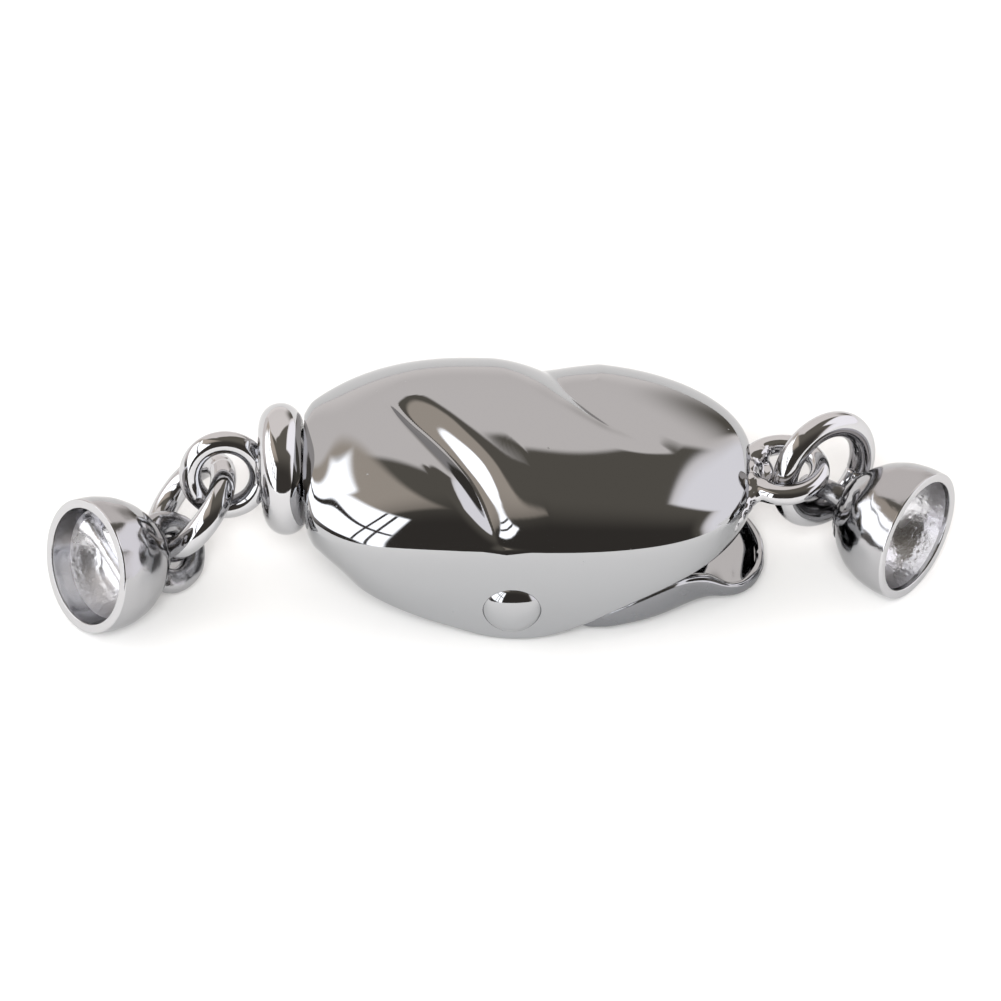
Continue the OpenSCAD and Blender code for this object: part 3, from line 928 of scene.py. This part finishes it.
class CLASP_OT_cups(Operator):
    """Builds the two bead cups: bell, cross bar inside and cast loop behind"""
    bl_idname = "clasp.cups"
    bl_label = "Bead cups"

    def execute(self, context):
        for node, cup in (("bead_cup_left", LEFT_CUP), ("bead_cup_right", RIGHT_CUP)):
            pieces = (cup_bell(node, cup["polished_to"]), cup_bar(node, cup["bar_turn"]),
                      cup_loop(node, cup["loop_turn"], cup["loop_off"]), cup_foot(node))
            for piece in pieces:
                place(piece, facing(cup["rim"], cup["tilt"], cup["heading"]))
                smooth(piece, 50)
                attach(piece, "clasp")
                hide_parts(node)
        return {"FINISHED"}


# The table, the room, the light and the camera

def white_board(colour):
    """Matt white board: an even, grainless white. It has no underside, so that the clasp and its open lever
    can be looked at from below the table."""
    board = bpy.data.materials.new("matt_white_board")
    board.use_nodes = True
    tree = board.node_tree
    shader = tree.nodes["Principled BSDF"]
    shader.inputs["Base Color"].default_value = linear(colour)
    shader.inputs["Roughness"].default_value = 0.9
    shader.inputs["Specular IOR Level"].default_value = 0.1
    clear = add_node(tree, "ShaderNodeBsdfTransparent")
    geometry = add_node(tree, "ShaderNodeNewGeometry")
    one_sided = add_node(tree, "ShaderNodeMixShader",
                         [(0, geometry, "Backfacing"), (1, shader, "BSDF"), (2, clear, "BSDF")])
    tree.links.new(one_sided.outputs[0], tree.nodes["Material Output"].inputs["Surface"])
    return board


def painted_room(look):
    """The room that the plating mirrors: lit wall and ceiling behind, dim on the camera's side, a window with
    panes on the left and a soft light on the right. Each is painted between planes near the room's middle."""
    world = bpy.data.worlds.new("room")
    world.use_nodes = True
    tree = world.node_tree
    tree.nodes.clear()
    where = add_node(tree, "ShaderNodeTexCoord")

    def side(normal, soft=0.03, past=0.0):
        """1 on the side of a plane that its normal points to, 0 on the other, soft between."""
        dot = add_node(tree, "ShaderNodeVectorMath", [(0, where, "Generated")], operation="DOT_PRODUCT")
        dot.inputs[1].default_value = Vector(normal).normalized()
        return add_node(tree, "ShaderNodeMapRange", [("Value", dot, "Value")],
                        interpolation_type="SMOOTHSTEP", From_Min=past - soft, From_Max=past + soft)

    def combined(operation, first, others):
        for other in others:
            first = add_node(tree, "ShaderNodeMath", [(0, first, 0), (1, other, 0)], operation=operation)
        return first

    def within(first, *others):
        return combined("MULTIPLY", first, others)

    def either(first, *others):
        return combined("MAXIMUM", first, others)

    def paint(base, mask, hex_value, strength=1.0):
        mix = add_node(tree, "ShaderNodeMix", data_type="RGBA")
        tree.links.new(mask.outputs[0], mix.inputs[0])
        if isinstance(base, tuple):
            mix.inputs[6].default_value = base
        else:
            tree.links.new(base.outputs[2], mix.inputs[6])
        colour = [c * strength for c in linear(hex_value)[:3]]
        mix.inputs[7].default_value = (*colour, 1.0)
        return mix

    # the dim room fills the front, as far as the soft light
    front = either(side((0.95, -1, 0.225)), side((-0.948, -1, -0.2)),
                   within(side((0.35, -1, 0.235)), side((1, 0, 0), 0.06, -0.26)))
    before_light = either(side((-1, 0, 0), 0.02, -0.58), side((0, -0.99, -0.12), 0.03))
    dim = within(front, side((-1, 0, 0), 0.03, -0.86), before_light)
    room = paint(linear(look.sky), dim, look.shade)
    beside_window = within(side((-1, -0.557, -0.504)), side((0, 0.82, 0.57), 0.05))
    room = paint(room, beside_window, look.wall)
    # the lit wall is brighter at its foot and fainter on the left
    foot = within(side((0, 0, -1), 0.14, -0.12), side((0, 1, 0), 0.1, 0.1))
    room = paint(room, foot, look.sky, 1.22)
    low_left = within(side((-0.25, 0.15, -0.95)), side((-1, 0, 0), 0.05, 0.55))
    room = paint(room, low_left, look.sky, 0.9)
    low_front = within(side((0, -0.82, -0.57), 0.35), side((-1, 0, 0), 0.05, -0.8))
    room = paint(room, low_front, look.deep_shade)
    soft_light = either(side((1, 0, 0), 0.06, 0.88),
                        within(side((1, 0, 0), 0.05, 0.6), side((0, 0.99, 0.12), 0.05)))
    room = paint(room, soft_light, look.glow, 1.4)
    # a dim strip behind, on the left of the soft light
    strip = within(side((1, 0, 0), 0.15, 0.32), side((-1, 0, 0), 0.02, -0.55),
                   side((0, 1, 0), 0.05, 0.5), side((0, 0, -1), 0.2, -0.3))
    room = paint(room, strip, look.shade)
    lower_pane = within(side((-1, -0.488, -0.977), 0.02), side((-0.914, 0.406, 0), 0.02),
                        side((0, -1, 0), 0.15, -0.5), side((0.25, -0.15, 0.95), 0.02))
    upper_pane = within(side((-1, -0.287, -0.988), 0.02, -0.045), side((0, 1, 0), 0.05, 0.1),
                        side((0, -1, 0), 0.03, -0.74), side((0, 0, 1), 0.03, 0.54))
    panes = either(lower_pane, upper_pane)
    room = paint(room, panes, look.window, 2.6)
    for normal in ((-0.82, 0.57, 0), (-0.7, 0.71, 0), (-0.62, 0, -0.78)):
        # a glazing bar is a thin strip between two near planes
        back = [-c for c in normal]
        bar = within(panes, side(normal, 0.008, -0.02), side(back, 0.008, -0.02))
        room = paint(room, bar, look.deep_shade)
    sky = add_node(tree, "ShaderNodeBackground", [("Color", room, 2)], Strength=1.1)
    add_node(tree, "ShaderNodeOutputWorld", [("Surface", sky, "Background")])
    return world


def light_card(name, location, size, power):
    """A square light aimed at the clasp, which the plating doesn't mirror."""
    clear_selection()
    bpy.ops.object.light_add(type="AREA", location=location)
    light = bpy.context.object
    light.name = name
    light.data.shape = "RECTANGLE"
    light.data.size, light.data.size_y = size, size
    light.data.energy = power
    aim = Vector((0, 0, 0)) - Vector(location)
    light.rotation_euler = aim.to_track_quat("-Z", "Y").to_euler()
    light.visible_glossy = False


def long_lens():
    """The camera: 0.04 mm of the clasp to a pixel, 43 degrees above the table."""
    target, distance, lift = Vector((-0.00022, 0, 0.00313)), 0.45, math.radians(43)
    sensor, view_width = 36, 0.04004
    camera_data = bpy.data.cameras.new("camera")
    camera = bpy.data.objects.new("camera", camera_data)
    bpy.context.scene.collection.objects.link(camera)
    camera.location = target + Vector((0, -math.cos(lift), math.sin(lift))) * distance
    camera.rotation_euler = (target - camera.location).to_track_quat("-Z", "Y").to_euler()
    camera_data.sensor_width = sensor
    camera_data.lens = sensor * distance / view_width
    camera_data.clip_start, camera_data.clip_end = 0.01, 5
    return camera


class CLASP_OT_stage(Operator):
    """Lays a pale table under the clasp, lights it softly and sets the camera"""
    bl_idname = "clasp.stage"
    bl_label = "Table, light and camera"

    def execute(self, context):
        scene = context.scene
        scene.view_settings.view_transform = "Standard"
        scene.view_settings.look = "None"
        clear_selection()
        bpy.ops.mesh.primitive_plane_add(size=1.6, location=(0, 0, 0))
        table = start("table")
        table.data.materials.clear()
        table.data.materials.append(white_board(scene.clasp_table.floor))
        scene.world = painted_room(scene.clasp_table)
        light_card("ceiling", (0, 0, 1.0), 2.0, 4.0)
        # beside the lens, so that the clasp hides most of its own shadow
        light_card("front_fill", (0, -0.66, 0.62), 0.35, 7.0)
        scene.camera = long_lens()
        return {"FINISHED"}


# The panel and the start

class CLASP_PT_panel(Panel):
    """Lists the clasp's pieces"""
    bl_label = "Fold-over clasp"
    bl_idname = "CLASP_PT_panel"
    bl_space_type = "VIEW_3D"
    bl_region_type = "UI"
    bl_category = "Clasp"

    def draw(self, context):
        for operator in OPERATORS:
            self.layout.operator(operator.bl_idname)
        for name in SETTINGS:
            group = getattr(context.scene, name)
            for key in group.__annotations__:
                self.layout.prop(group, key)


OPERATORS = (CLASP_OT_stage, CLASP_OT_shell, CLASP_OT_rivet, CLASP_OT_lever, CLASP_OT_connector,
             CLASP_OT_rings, CLASP_OT_cups)


def register():
    for group in SETTINGS.values():
        bpy.utils.register_class(group)
    for operator in OPERATORS:
        bpy.utils.register_class(operator)
    bpy.utils.register_class(CLASP_PT_panel)
    for name, group in SETTINGS.items():
        setattr(bpy.types.Scene, name, PointerProperty(type=group))


def unregister():
    for name in SETTINGS:
        delattr(bpy.types.Scene, name)
    bpy.utils.unregister_class(CLASP_PT_panel)
    for operator in reversed(OPERATORS):
        bpy.utils.unregister_class(operator)
    for group in SETTINGS.values():
        bpy.utils.unregister_class(group)


def main():
    register()
    clear_selection()
    make_finishes()
    bpy.ops.clasp.stage()
    bpy.ops.clasp.shell()
    bpy.ops.clasp.rivet()
    bpy.ops.clasp.lever()
    bpy.ops.clasp.connector()
    bpy.ops.clasp.rings()
    bpy.ops.clasp.cups()


if __name__ == "__main__":
    main()
